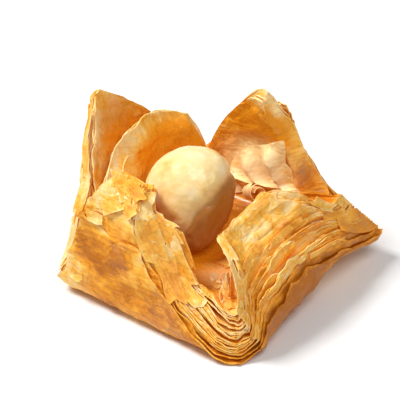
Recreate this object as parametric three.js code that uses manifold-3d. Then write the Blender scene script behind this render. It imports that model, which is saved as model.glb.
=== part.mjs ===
// A small filo pastry: a square stack of thin sheets whose four corners are folded up into a nest
// round one whole blanched hazelnut. The cut edges of the sheets show as nested chevrons at the
// corners of the base. Millimetres, +Z up. The origin is the middle of the base, on the surface
// that the pastry stands on.
import * as THREE from "three";
import { mergeVertices } from "three/addons/utils/BufferGeometryUtils.js";
import Module from "manifold-3d";

// ---------- Driving dimensions ----------
const FOLD_OUT = 16.3; // from the middle of the base to each fold line
const STACK_HEIGHT = 6.2; // the pressed stack under the nut
const FOLD_ARC = 4.6; // length of sheet in the outermost layer's bend
const INSET_RUN = { before: 11, after: 2.5 }; // the inner layers draw in over this run at a fold
const TURN_RUN = 9; // past the fold, the layers' thickness turns from upright over this run
const TIP_THINNING = 0.55; // share of the stack's thickness that is lost towards a flap's tip

// Each flap is cut to a blunt tip `tip` from the middle of the sheet and `tipHalf` wide to each side.
// Of its two cut sides, taken in the order of the corners round the base, each dips in by `sag` from
// straight, and by `slant` more on the outermost layer. The flap turns up by `lean` degrees at its
// middle and by `sideLean` near the corners of the base. From `bendFrom` past the fold it bends by
// `bend` more over `bendArc`. Its tip is pushed aside by `skew`, and its innermost layer stands
// `reach` past the outermost. Past the share `split` of the thickness the inner layers stand away
// by `opening` degrees, bend by `innerBend` more and are pushed aside by `innerSkew` more, and on
// their side towards +Y they curve in by `cup`. The gap between the two runs in by `parting`.
// `ends` lists the layers that stop short of the tip, from the outermost in: those up to the depth
// `upTo` end at `end` past the fold on the flap's middle line, changing by `tilt` for each
// millimetre aside and by `bow` at 10 mm to each side.
const FLAPS = {
  front: {
    tip: 39.2, tipHalf: 2.8, sag: [0, 1.2], slant: [0, 4.7],
    lean: 102, sideLean: 97, bend: 75, bendFrom: 15, bendArc: 6, skew: -9, reach: 2,
    split: 0.5, parting: 0, opening: 3, innerBend: 0, innerSkew: 0, cup: 0,
    ends: [{ upTo: 0.1, end: 13, tilt: 0, bow: 3 }],
  },
  right: {
    tip: 32.5, tipHalf: 6, sag: [-3, -1.5], slant: [6, 7],
    lean: 98, sideLean: 96, bend: 70, bendFrom: 6.2, bendArc: 7, skew: -2, reach: 1.5,
    split: 0.3, parting: 7, opening: 13, innerBend: -20, innerSkew: 0, cup: 0,
    ends: [
      { upTo: 0.3, end: 6.3, tilt: -0.1, bow: -2 },
      { upTo: 0.4, end: 8.2, tilt: -0.1, bow: -2 },
      { upTo: 0.6, end: 10.8, tilt: -0.1, bow: -1.5 },
    ],
  },
  back: {
    tip: 37.3, tipHalf: 1, sag: [0.8, 0], slant: [4.2, 0],
    lean: 91, sideLean: 95, bend: 14, bendFrom: 10, bendArc: 8, skew: 0, reach: 2.5,
    split: 0.2, parting: 0, opening: 2, innerBend: 0, innerSkew: 0, cup: 0,
    ends: [],
  },
  left: {
    tip: 40, tipHalf: 1.4, sag: [-2, 1], slant: [0, 0],
    lean: 75, sideLean: 86, bend: 4, bendFrom: 12, bendArc: 6, skew: 0, reach: 2,
    split: 0.6, parting: 12, opening: 10, innerBend: 16, innerSkew: 5, cup: 6,
    ends: [
      { upTo: 0.6, end: 23.7, tilt: 0, bow: 0 },
      { upTo: 1, end: 18, tilt: 0, bow: -4 },
    ],
  },
};
const SIDE_WIDTH = 16; // from a flap's middle line to where sideLean is reached
const CUP_WIDTH = 11; // from a flap's middle line to where the cup is whole

// Where the cut edges of two neighbouring flaps meet, this far out along both folds.
const CORNERS = { rightBack: 17.6, leftBack: 17.8, leftFront: 16.9, rightFront: 15 };

// Towards these corners of the base the inner layers draw in less, so that the cut edges run
// round the corner in nested curves.
const ROUNDED = { from: 7, to: 15.5, share: 0.45 };

// The base is pressed flat, but its corner between the right and the back flap has sprung up.
const SPRUNG = { from: 3, to: 23, height: 3.4 };

// At that corner the outer layers, up to this depth, have come away and hang out and down.
const DROOPED = { depth: 0.5, from: 17, to: 25, out: 2.4, down: 2.6 };

const WRINKLES = [
  { height: 0.18, along: 0.42, across: 0.31, start: 0.4 },
  { height: 0.12, along: -0.35, across: 0.66, start: 2.1 },
  { height: 0.05, along: 0.93, across: -0.52, start: 4.2 },
];

const LAYERS = 10; // bunches of sheets that can be told apart at a cut edge
const LAYER_FACE = 0.52; // share of a bunch's thickness that is its cut face; the rest is groove
const GROOVE = { least: 0.8, most: 1.6 }; // how deep the gaps between bunches run in
const EDGE_RAGGED = 0.6; // most that a bunch's edge falls short of the cut line

// Grid lines across the base, as shares of the way from its middle to its side.
const BASE_LINES = [-1, -0.93, -0.86, -0.68, -0.46, -0.23, 0, 0.23, 0.46, 0.68, 0.86, 0.93, 1];
const COLUMNS = BASE_LINES.length - 1; // cells across the base, and across a flap
const FLAP_ROWS = 9; // cells from a fold to a tip
const FIRST_ROW = 1.1; // the first of them is this long, to follow the fold
const FACE_STEPS = [1 / 3, 2 / 3]; // extra rows where a layer's face shows past the next layer
const FACE_LEAST = 2.5; // stretches of face shorter than this have no such rows

const NUT = { radius: 7, length: 15.6, x: -3.6, y: -0.4, z: 12.7 };
const NUT_POINT = { azimuth: -52, elevation: -42 }; // where the narrow end points
const NUT_TAPER = 0.24; // how much narrower the pointed end is than the round one
const NUT_FURROW = { depth: 0.55, width: 0.5, at: 0.9 }; // a shallow furrow down one side, in radians
const NUT_ROUND = 30; // facets round the nut
const NUT_RINGS = 16;
const SMALLEST = 0.02; // slivers thinner than this that cutting leaves are closed up
const CLEARANCE = 0.3; // gap between the nut and the pastry that it sits in

const radians = THREE.MathUtils.degToRad;
const clamp = THREE.MathUtils.clamp;
const mix = THREE.MathUtils.lerp;
const ease = (x) => THREE.MathUtils.smoothstep(x, 0, 1);

// ---------- The folded stack ----------

// Follows a strip of sheet for `distance` through stretches that each turn evenly from one angle
// to another, and returns how far out and how far up it has come.
function follow(stretches, distance) {
  let out = 0;
  let up = 0;
  let left = distance;
  for (const { length, from, to } of stretches) {
    const run = Math.min(left, length);
    const end = from + ((to - from) * run) / length;
    if (Math.abs(to - from) < 1e-6) {
      out += run * Math.cos(from);
      up += run * Math.sin(from);
    } else {
      const bend = (to - from) / length;
      out += (Math.sin(end) - Math.sin(from)) / bend;
      up += (Math.cos(from) - Math.cos(end)) / bend;
    }
    left -= run;
    if (left <= 0) break;
  }
  return { out, up };
}

// One flap's share of a point's place. `distance` runs from the middle of the sheet over the fold
// to the tip, `aside` is measured from the flap's middle line, and `depth` goes from 0 on the
// outermost sheet to 1 on the innermost.
function foldOver(flap, distance, aside, depth) {
  const sideways = ease(Math.abs(aside) / SIDE_WIDTH);
  const inner = depth > flap.split ? 1 - sideways : 0;
  const lean = radians(mix(flap.lean, flap.sideLean, sideways) + flap.opening * inner);
  const bend = radians(flap.bend + flap.innerBend * inner) * (1 - sideways);
  const past = clamp((distance - FOLD_OUT) / (flap.tip - FOLD_OUT), 0, 1);
  const along = distance + flap.reach * depth * ease(past);
  const place = follow(
    [
      { length: FOLD_OUT - FOLD_ARC / 2, from: 0, to: 0 },
      { length: FOLD_ARC, from: 0, to: lean },
      { length: flap.bendFrom - FOLD_ARC / 2, from: lean, to: lean },
      { length: flap.bendArc, from: lean, to: lean + bend },
      { length: Infinity, from: lean + bend, to: lean + bend },
    ],
    along,
  );
  const angle = lean + bend * ease((along - FOLD_OUT - flap.bendFrom) / flap.bendArc);
  const inset = ease((distance - FOLD_OUT + INSET_RUN.before) / (INSET_RUN.before + INSET_RUN.after));
  const drop = ease((distance - FOLD_OUT) / TURN_RUN) * (1 - Math.cos(angle));
  const skew = (flap.skew + flap.innerSkew * inner) * past;
  const cup = depth > flap.split ? flap.cup * ease(aside / CUP_WIDTH) * ease(2 * past) : 0;
  return { out: place.out - cup, up: place.up, inset: inset * Math.sin(angle), drop, past, skew };
}

// Where a point of the stack comes to lie: x and y on the flat sheet, and depth from 0 to 1.
function folded(x, y, depth) {
  const signX = x > 0 ? 1 : -1;
  const signY = y > 0 ? 1 : -1;
  const overX = foldOver(x > 0 ? FLAPS.right : FLAPS.left, Math.abs(x), y, depth);
  const overY = foldOver(y > 0 ? FLAPS.back : FLAPS.front, Math.abs(y), x, depth);
  const past = Math.max(overX.past, overY.past);
  let wrinkle = 0;
  for (const { height, along, across, start } of WRINKLES) {
    wrinkle += height * Math.sin(along * x + across * y + start + 2 * depth);
  }
  const offset = depth * STACK_HEIGHT * (1 - TIP_THINNING * past) + wrinkle * ease(4 * past);
  const inCorner = Math.min(Math.abs(x), Math.abs(y));
  const kept = 1 - ROUNDED.share * ease((inCorner - ROUNDED.from) / (ROUNDED.to - ROUNDED.from));
  const towards = (x + y) / Math.SQRT2;
  const sprung = SPRUNG.height * ease((towards - SPRUNG.from) / (SPRUNG.to - SPRUNG.from));
  const outer = ease(1 - depth / DROOPED.depth);
  const drooped = outer * ease((towards - DROOPED.from) / (DROOPED.to - DROOPED.from));
  const sideways = (drooped * DROOPED.out) / Math.SQRT2;
  return new THREE.Vector3(
    signX * (overX.out - offset * kept * overX.inset) + overY.skew + sideways,
    signY * (overY.out - offset * kept * overY.inset) + overX.skew + sideways,
    overX.up + overY.up + offset * (1 - overX.drop - overY.drop) + sprung - DROOPED.down * drooped,
  );
}

// ---------- The stack's surface ----------

// The flaps in turn round the base, each with the corners before and after it and the directions
// out over its fold and along it.
const { leftFront, rightFront, rightBack, leftBack } = CORNERS;
const SIDES = [
  { flap: FLAPS.front, before: leftFront, after: rightFront, out: [0, -1], along: [1, 0] },
  { flap: FLAPS.right, before: rightFront, after: rightBack, out: [1, 0], along: [0, 1] },
  { flap: FLAPS.back, before: rightBack, after: leftBack, out: [0, 1], along: [-1, 0] },
  { flap: FLAPS.left, before: leftBack, after: leftFront, out: [-1, 0], along: [0, -1] },
];

// A place on the flat sheet between its four corners, at column i and line j of the base's grid.
function onBase(i, j) {
  const a = (1 + BASE_LINES[i]) / 2;
  const b = (1 + BASE_LINES[j]) / 2;
  return {
    x: mix(mix(-leftFront, rightFront, a), mix(-leftBack, rightBack, a), b),
    y: mix(mix(-leftFront, -rightFront, a), mix(leftBack, rightBack, a), b),
  };
}

// A place on the flat sheet at column u and row v of a flap's grid. The layer ends at `end`, a
// distance from the sheet's middle that depends on the way aside. Its cut sides stand back, by the
// first amount in `back` at the corners of the base and by the second further up.
function onFlap({ flap, before, after, out, along }, u, v, { depth, end, back }) {
  const near = mix(before, after, (1 + BASE_LINES[u]) / 2);
  const full = flap.tip - Math.min(before, after);
  const row = v === 0 ? -back[0] : mix(FIRST_ROW, full, (v - 1) / (FLAP_ROWS - 1));
  const half = (number, distance) => {
    const corner = [before, after][number];
    const way = clamp((distance - corner) / (flap.tip - corner), 0, 1);
    const dip = flap.sag[number] + flap.slant[number] * (1 - depth);
    const cut = mix(corner, flap.tipHalf, way) - 4 * dip * way * (1 - way);
    return Math.max(cut - mix(back[0], back[1], ease(2 * way)), cut / 2);
  };
  const asideAt = (distance) => {
    const share = mix((1 + BASE_LINES[u]) / 2, u / COLUMNS, clamp((distance - near) / full, 0, 1));
    return mix(-half(0, distance), half(1, distance), share);
  };
  const distance = Math.min(near + row, end(asideAt(end(0))));
  const aside = asideAt(distance);
  return { x: out[0] * distance + along[0] * aside, y: out[1] * distance + along[1] * aside };
}

// How far from the sheet's middle the layers of bunch m end on a flap.
function endOf(flap, m) {
  const group = flap.ends.find(({ upTo }) => (m + 0.5) / LAYERS < upTo);
  if (!group) return () => flap.tip;
  return (aside) => FOLD_OUT + group.end + group.tilt * aside + group.bow * (aside / 10) ** 2;
}

// A repeatable uneven value between 0 and 1 for step k along an edge and layer m.
function uneven(k, m) {
  const wave = Math.sin(k * 0.37 + m * 2.4) + Math.sin(k * 0.83 + m * 4.1) * 0.7;
  return clamp(0.5 + wave / 3.2, 0, 1);
}

// The rows of the cut edge from the outermost sheet to the innermost. Each bunch of sheets has a
// low and a high row on its cut face, then a groove in to the next bunch. Rows on the way into a
// groove and out of it lie `share` of the way from the row before to the row after. The faces on
// both sides of a groove are split alike, so that they don't meet in between.
function edgeRows() {
  const rows = [];
  const rim = (1 - LAYER_FACE) / 2;
  for (let m = 0; m < LAYERS; m++) {
    const between = FACE_STEPS.map((share) => ({ share }));
    if (m > 0) rows.push(...between.map((row) => ({ ...row, outwards: true })));
    rows.push({ depth: m === 0 ? 0 : (m + rim) / LAYERS, bunch: m });
    rows.push({ depth: m === LAYERS - 1 ? 1 : (m + 1 - rim) / LAYERS, bunch: m });
    if (m === LAYERS - 1) break;
    rows.push(...between, { depth: (m + 1) / LAYERS, bunch: m, groove: true, outwards: true });
  }
  return rows;
}

// Where a row of the cut edge lies at step k of the border: the depth, where the layer ends and
// how far its cut sides stand back.
function edgeCourse(row, flap, k) {
  const end = endOf(flap, row.bunch);
  const ragged = EDGE_RAGGED * uneven(k, row.bunch);
  const plainEnd = (aside) => end(aside) - ragged;
  if (!row.groove) return { depth: row.depth, end: plainEnd, back: [ragged, ragged] };
  const next = endOf(flap, row.bunch + 1);
  const plain = mix(GROOVE.least, GROOVE.most, uneven(k + 9, row.bunch + 3));
  const parted = flap.parting > 0 && Math.abs(row.depth - flap.split) < 0.5 / LAYERS;
  const deep = parted ? flap.parting : plain;
  return {
    depth: row.depth,
    end: (aside) => Math.max(Math.min(end(aside), next(aside)) - ragged - deep, FOLD_OUT + FOLD_ARC),
    back: [ragged + plain, ragged + deep],
  };
}

// A closed body: points, and the faces between them given once round from outside.
class Body {
  positions = [];
  triangles = [];

  add(point) {
    this.positions.push(point.x, point.y, point.z);
    return this.positions.length / 3 - 1;
  }

  // The faces between rows of points, which go up when seen from outside. Each face is split in
  // two along one of its diagonals, and above the rows in `turned` along the other.
  faces(rows, turned = []) {
    for (let r = 0; r + 1 < rows.length; r++) {
      for (let k = 0; k + 1 < rows[r].length; k++) {
        const corners = [rows[r][k], rows[r][k + 1], rows[r + 1][k + 1], rows[r + 1][k]];
        if (turned[r]) corners.push(corners.shift());
        const [a, b, c, d] = corners;
        this.triangles.push(a, b, c, a, c, d);
      }
    }
  }

  geometry() {
    const geometry = new THREE.BufferGeometry();
    geometry.setAttribute("position", new THREE.Float32BufferAttribute(this.positions, 3));
    geometry.setIndex(this.triangles);
    return geometry;
  }
}

function stackGeometry() {
  const body = new Body();
  const count = (length) => [...Array(length).keys()];

  // The outermost or the innermost sheet: the base's grid and a grid for each flap, which starts
  // on a side of the base. Returns the flaps' grids.
  const sheet = (depth, bunch, facesUp) => {
    const add = ({ x, y }) => body.add(folded(x, y, depth));
    const base = count(COLUMNS + 1).map((j) => count(COLUMNS + 1).map((i) => add(onBase(i, j))));
    const sides = [
      (u) => base[0][u],
      (u) => base[u][COLUMNS],
      (u) => base[COLUMNS][COLUMNS - u],
      (u) => base[COLUMNS - u][0],
    ];
    const flaps = SIDES.map((side, s) => {
      const course = { depth, end: endOf(side.flap, bunch), back: [0, 0] };
      const rows = [count(COLUMNS + 1).map(sides[s])];
      for (let v = 1; v <= FLAP_ROWS; v++) {
        rows.push(count(COLUMNS + 1).map((u) => add(onFlap(side, u, v, course))));
      }
      return rows;
    });
    body.faces(facesUp ? base : base.toReversed());
    for (const rows of flaps) body.faces(facesUp ? rows.toReversed() : rows);
    return flaps;
  };
  const under = sheet(0, 0, false);
  const over = sheet(1, LAYERS - 1, true);

  // The border, once round: up one side of each flap, across its tip and down the other side.
  const border = SIDES.flatMap((side, s) => [
    ...count(FLAP_ROWS).map((v) => ({ side, s, u: 0, v })),
    ...count(COLUMNS).map((u) => ({ side, s, u, v: FLAP_ROWS })),
    ...count(FLAP_ROWS).map((v) => ({ side, s, u: COLUMNS, v: FLAP_ROWS - v })),
  ]);

  // The cut edges, as rows of points round the border. Where a row between two others would lie
  // on a short stretch it takes the points of the row before it.
  const rows = edgeRows();
  const wall = rows.map(() => []);
  border.forEach(({ side, s, u, v }, k) => {
    const courses = rows.map((row) => row.share ?? edgeCourse(row, side.flap, k));
    const places = courses.map((course) => {
      if (typeof course === "number") return null;
      return { ...onFlap(side, u, v, course), depth: course.depth };
    });
    rows.forEach((row, r) => {
      if (r === 0) wall[r].push(under[s][v][u]);
      else if (r === rows.length - 1) wall[r].push(over[s][v][u]);
      else if (places[r]) wall[r].push(body.add(folded(places[r].x, places[r].y, places[r].depth)));
      else {
        const from = places.slice(0, r).findLast((place) => place);
        const to = places.slice(r).find((place) => place);
        const stretch = Math.hypot(to.x - from.x, to.y - from.y);
        const x = mix(from.x, to.x, row.share);
        const y = mix(from.y, to.y, row.share);
        const short = stretch < FACE_LEAST;
        wall[r].push(short ? wall[r - 1][k] : body.add(folded(x, y, mix(from.depth, to.depth, row.share))));
      }
    });
  });
  body.faces(
    wall.map((row) => [...row, row[0]]),
    rows.map((row) => row.outwards),
  );
  return body.geometry();
}

// ---------- The hazelnut ----------

// An egg shape along its own Y axis, narrow end down, then turned so that the narrow end points
// down past the front of the nest. `swell` makes it larger all round.
function nutGeometry(swell) {
  const geometry = new THREE.SphereGeometry(1, NUT_ROUND, NUT_RINGS);
  const place = geometry.attributes.position;
  for (let k = 0; k < place.count; k++) {
    const point = new THREE.Vector3().fromBufferAttribute(place, k);
    const around = Math.atan2(point.z, point.x) - NUT_FURROW.at;
    const furrow = Math.exp(-((around / NUT_FURROW.width) ** 2)) * (1 - point.y ** 2);
    const round = NUT.radius * (1 + NUT_TAPER * (point.y - 0.3)) - NUT_FURROW.depth * furrow + swell;
    place.setXYZ(k, point.x * round, point.y * (NUT.length / 2 + swell), point.z * round);
  }
  const bearing = radians(NUT_POINT.azimuth);
  const pitch = radians(NUT_POINT.elevation);
  const narrow = new THREE.Vector3(
    Math.cos(pitch) * Math.cos(bearing),
    Math.cos(pitch) * Math.sin(bearing),
    Math.sin(pitch),
  );
  geometry.applyQuaternion(
    new THREE.Quaternion().setFromUnitVectors(new THREE.Vector3(0, -1, 0), narrow),
  );
  geometry.translate(NUT.x, NUT.y, NUT.z);
  return geometry;
}

// ---------- Joining ----------
const wasm = await Module();
wasm.setup();

// Points that coincide become one, and the faces that shrink to a line by that are left out.
function toSolid(geometry) {
  geometry.deleteAttribute("normal");
  geometry.deleteAttribute("uv");
  const merged = mergeVertices(geometry, 1e-3);
  const triangles = [];
  for (let k = 0; k < merged.index.count; k += 3) {
    const [a, b, c] = merged.index.array.slice(k, k + 3);
    if (a !== b && b !== c && c !== a) triangles.push(a, b, c);
  }
  return new wasm.Manifold(
    new wasm.Mesh({
      numProp: 3,
      vertProperties: merged.attributes.position.array,
      triVerts: new Uint32Array(triangles),
    }),
  );
}

function toGeometry(solid) {
  const mesh = solid.getMesh();
  const geometry = new THREE.BufferGeometry();
  geometry.setAttribute("position", new THREE.BufferAttribute(mesh.vertProperties, 3));
  geometry.setIndex(new THREE.BufferAttribute(mesh.triVerts, 1));
  geometry.computeVertexNormals();
  return geometry;
}

// The largest of the bodies that cutting may have left.
function mainBody(solid) {
  return solid.decompose().reduce((a, b) => (a.volume() > b.volume() ? a : b));
}

const stack = toSolid(stackGeometry()).subtract(toSolid(nutGeometry(CLEARANCE)));

const pastry = new THREE.Mesh(
  toGeometry(mainBody(stack.simplify(SMALLEST))),
  new THREE.MeshStandardMaterial({ color: 0xdf9f4e, roughness: 0.35, metalness: 0 }),
);
pastry.name = "filo_pastry";

const hazelnut = new THREE.Mesh(
  nutGeometry(0),
  new THREE.MeshStandardMaterial({ color: 0xf3d08c, roughness: 0.45, metalness: 0 }),
);
hazelnut.name = "hazelnut";

const part = new THREE.Group();
part.add(pastry, hazelnut);
export default part;
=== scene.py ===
# %% [markdown]
# # A baklava nest
# A square stack of paper-thin filo sheets is laid flat, its four corners are turned up and in, and
# one peeled hazelnut is pressed into the nest. Baking crisps and browns the sheets, and a thin
# syrup is poured over them while they are hot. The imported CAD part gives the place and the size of
# the stack and of the nut, and everything here is built round it, in metres.

# %% Load the frame
import math

import bpy
import numpy as np
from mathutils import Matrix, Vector


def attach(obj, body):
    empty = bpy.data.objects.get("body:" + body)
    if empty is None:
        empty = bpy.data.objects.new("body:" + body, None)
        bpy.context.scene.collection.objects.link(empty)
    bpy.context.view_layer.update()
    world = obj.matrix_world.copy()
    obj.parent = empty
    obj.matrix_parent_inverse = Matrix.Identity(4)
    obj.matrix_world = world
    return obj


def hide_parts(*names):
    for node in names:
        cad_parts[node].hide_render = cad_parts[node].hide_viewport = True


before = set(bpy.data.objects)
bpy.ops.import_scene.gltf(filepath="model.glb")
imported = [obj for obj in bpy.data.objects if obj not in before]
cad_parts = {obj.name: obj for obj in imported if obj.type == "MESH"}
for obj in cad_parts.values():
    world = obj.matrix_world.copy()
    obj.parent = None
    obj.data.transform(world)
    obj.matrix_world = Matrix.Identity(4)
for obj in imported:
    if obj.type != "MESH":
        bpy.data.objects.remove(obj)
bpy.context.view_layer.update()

MM = 0.001

# %% [markdown]
# ## Camera
# A sweet on a plate is seen from above at an angle, so the camera looks down on the nest from its
# front right. A short lens close by would make the near corner loom. A long lens further away
# keeps the sides in proportion, and its view angle follows from the width that it has to show.

# %% Camera
AZIMUTH = math.radians(35)
ELEVATION = math.radians(41)
DISTANCE = 0.370
VIEW_WIDTH = 0.06027
AIM = Vector((-2.6, 0.2, 12.6)) * MM
towards = Vector((
    math.sin(AZIMUTH) * math.cos(ELEVATION),
    -math.cos(AZIMUTH) * math.cos(ELEVATION),
    math.sin(ELEVATION),
))
camera = bpy.data.objects.new("camera", bpy.data.cameras.new("camera"))
bpy.context.scene.collection.objects.link(camera)
bpy.context.scene.camera = camera
camera.location = towards * DISTANCE
camera.rotation_euler = (camera.location - AIM).to_track_quat("Z", "Y").to_euler()
camera.data.angle = 2 * math.atan(VIEW_WIDTH / 2 / DISTANCE)
print("view angle in degrees:", round(math.degrees(camera.data.angle), 2))

# %% [markdown]
# ## Folding a sheet
# No operator folds a sheet over four lines at once with a round bend at each, so the points of a
# flat grid are moved in code. A strip of dough that turns evenly follows an arc. Each flap turns
# up at its fold, runs straight, and bends again further up. The inner sheets take a shorter way
# round each bend, so they are drawn in by the thickness that lies outside them.

# %% Dimensions of the stack, in millimetres
FOLD_OUT = 16.3  # from the middle of a sheet to each fold
STACK_HEIGHT = 6.2
FOLD_ARC = 4.6  # length of dough in the round bend of a fold
INSET_BEFORE, INSET_AFTER = 11, 2.5  # how far before and past a fold inner sheets are drawn in
TURN_RUN = 9  # length over which the stack goes from lying to standing
TIP_THINNING = 0.55  # how much thinner the stack is at a flap's tip
SIDE_WIDTH = 16  # how far from a flap's middle line it is all side
CUP_WIDTH = 11  # how far aside of that line a cupped flap is curved in all the way
PARTING_BLUR = 0.03  # share of the depth over which a flap's inner sheets part from the outer
SPRUNG_FROM, SPRUNG_TO, SPRUNG_HEIGHT = 3, 23, 3.4  # the right back corner springs up
CORNERS = {"rightBack": 17.6, "leftBack": 17.8, "leftFront": 16.9, "rightFront": 15}
# Depth runs from 0 at the outermost sheet to 1 at the innermost. Each flap in the flat sheet:
#   tip, tip_half: how far out its blunt tip lies, and half the tip's width
#   sag, slant: how hollow its two cut edges are, and how far outer sheets stand back there
#   reach: how much further the innermost sheet reaches than the outermost
#   ends: (depth up to which, end past the fold, tilt, bow) of the sheets that broke off early
# And folded, with angles in degrees:
#   lean, side_lean: how it stands at its middle line and at its sides
#   bend, bend_from, bend_arc: its second bend, how far past the fold it starts, and its length
#   skew: how far its tip leans aside
#   split: the depth from which inner sheets part from the outer ones. They then lean by
#   opening more, bend by inner_bend more, and are cupped and skewed by cup and inner_skew
FLAPS = {
    "front": dict(
        tip=39.2, tip_half=2.8, sag=(0, 1.2), slant=(0, 4.7), lean=102, side_lean=97,
        bend=75, bend_from=15, bend_arc=6, skew=-9, reach=2, split=0.5, opening=3,
        inner_bend=0, inner_skew=0, cup=0, ends=[(0.1, 13, 0, 3)],
    ),
    "right": dict(
        tip=32.5, tip_half=6, sag=(-3, -1.5), slant=(6, 7), lean=98, side_lean=96,
        bend=70, bend_from=6.2, bend_arc=7, skew=-2, reach=1.5, split=0.3, opening=13,
        inner_bend=-20, inner_skew=0, cup=0,
        ends=[
            (0.08, 5.3, -0.1, -2), (0.16, 6.2, -0.12, -2), (0.23, 6.9, -0.08, -2.2),
            (0.3, 7.5, -0.1, -2), (0.37, 8.4, -0.12, -1.8), (0.44, 9.3, -0.1, -2),
            (0.52, 10.3, -0.08, -1.6), (0.6, 11.2, -0.1, -1.5),
        ],
    ),
    "back": dict(
        tip=37.3, tip_half=1, sag=(0.8, 0), slant=(4.2, 0), lean=91, side_lean=95,
        bend=14, bend_from=10, bend_arc=8, skew=0, reach=2.5, split=0.2, opening=2,
        inner_bend=0, inner_skew=0, cup=0, ends=[],
    ),
    "left": dict(
        tip=40, tip_half=1.4, sag=(-2, 1), slant=(0, 0), lean=75, side_lean=86,
        bend=4, bend_from=12, bend_arc=6, skew=0, reach=2, split=0.6, opening=10,
        inner_bend=16, inner_skew=5, cup=6,
        ends=[(0.6, 23.7, 0, 0), (0.93, 17, 0, -4), (1.1, 18.6, 0, -4)],
    ),
}
# A wrinkle is (height, waves along, waves across, start), and all sheets share them.
WRINKLES = [(0.18, 0.42, 0.31, 0.4), (0.12, -0.35, 0.66, 2.1), (0.05, 0.93, -0.52, 4.2)]
ROUNDED_FROM, ROUNDED_TO, ROUNDED_SHARE = 7, 15.5, 0.45  # the nest is round at its corners
DROOP_DEPTH, DROOP_FROM, DROOP_TO, DROOP_OUT, DROOP_DOWN = 0.5, 17, 25, 2.4, 2.6
print("flaps:", {name: flap["tip"] for name, flap in FLAPS.items()})


# %% The fold as a function of the flat sheet
def ease(x):
    """A soft step: 0 up to x = 0, 1 from x = 1, and smooth between."""
    x = np.clip(x, 0, 1)
    return x * x * (3 - 2 * x)


def mix(a, b, share):
    """Goes from a to b as share goes from 0 to 1."""
    return a + (b - a) * share


def follow(stretches, distance):
    """How far out and up a strip comes that turns evenly along each (length, from, to)."""
    out = up = 0 * distance
    left = distance
    for length, start, stop in stretches:
        run = np.clip(left, 0, length)
        half_turn = (stop - start) * run / length / 2
        chord = run * np.sinc(half_turn / np.pi)
        out = out + chord * np.cos(start + half_turn)
        up = up + chord * np.sin(start + half_turn)
        left = left - run
    return out, up


def fold_over(flap, distance, aside, depth):
    """One flap's share of the place of points at that distance from the middle of the sheet."""
    sideways = ease(np.abs(aside) / SIDE_WIDTH)
    parted = ease((depth - flap["split"]) / PARTING_BLUR + 0.5)
    inner = parted * (1 - sideways)
    lean = np.radians(mix(flap["lean"], flap["side_lean"], sideways) + flap["opening"] * inner)
    bend = np.radians(flap["bend"] + flap["inner_bend"] * inner) * (1 - sideways)
    past = np.clip((distance - FOLD_OUT) / (flap["tip"] - FOLD_OUT), 0, 1)
    along = distance + flap["reach"] * depth * ease(past)
    out, up = follow([
        (FOLD_OUT - FOLD_ARC / 2, 0, 0),
        (FOLD_ARC, 0, lean),
        (flap["bend_from"] - FOLD_ARC / 2, lean, lean),
        (flap["bend_arc"], lean, lean + bend),
        (np.inf, lean + bend, lean + bend),
    ], along)
    angle = lean + bend * ease((along - FOLD_OUT - flap["bend_from"]) / flap["bend_arc"])
    inset = ease((distance - FOLD_OUT + INSET_BEFORE) / (INSET_BEFORE + INSET_AFTER))
    drop = ease((distance - FOLD_OUT) / TURN_RUN) * (1 - np.cos(angle))
    skew = (flap["skew"] + flap["inner_skew"] * inner) * past
    cup = parted * flap["cup"] * ease(aside / CUP_WIDTH) * ease(2 * past)
    return out - cup, up, inset * np.sin(angle), drop, past, skew


def either(test, a, b):
    """Takes each value of a flap from a where the test holds, and from b elsewhere."""
    return [np.where(test, p, q) for p, q in zip(a, b)]


def folded(x, y, depth, lift=0.0):
    """Where points of the flat sheet at that depth in the stack lie, in millimetres."""
    over_x = either(
        x > 0,
        fold_over(FLAPS["right"], np.abs(x), y, depth),
        fold_over(FLAPS["left"], np.abs(x), y, depth),
    )
    over_y = either(
        y > 0,
        fold_over(FLAPS["back"], np.abs(y), x, depth),
        fold_over(FLAPS["front"], np.abs(y), x, depth),
    )
    past = np.maximum(over_x[4], over_y[4])
    wrinkle = sum(
        height * np.sin(along * x + across * y + start + 2 * depth)
        for height, along, across, start in WRINKLES
    )
    offset = depth * STACK_HEIGHT * (1 - TIP_THINNING * past) + wrinkle * ease(4 * past) + lift
    in_corner = np.minimum(np.abs(x), np.abs(y))
    kept = 1 - ROUNDED_SHARE * ease((in_corner - ROUNDED_FROM) / (ROUNDED_TO - ROUNDED_FROM))
    towards_corner = (x + y) / math.sqrt(2)
    sprung = SPRUNG_HEIGHT * ease((towards_corner - SPRUNG_FROM) / (SPRUNG_TO - SPRUNG_FROM))
    droop = ease((towards_corner - DROOP_FROM) / (DROOP_TO - DROOP_FROM))
    droop = droop * ease(1 - depth / DROOP_DEPTH)
    sideways = droop * DROOP_OUT / math.sqrt(2)
    return np.stack([
        np.sign(x) * (over_x[0] - offset * kept * over_x[2]) + over_y[5] + sideways,
        np.sign(y) * (over_y[0] - offset * kept * over_y[2]) + over_x[5] + sideways,
        over_x[1] + over_y[1] + offset * (1 - over_x[3] - over_y[3]) + sprung - DROOP_DOWN * droop,
    ], axis=-1)


print("middle of the stack's top, mm:", folded(np.array([0.1]), np.array([0.1]), np.array([1.0])))
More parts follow.
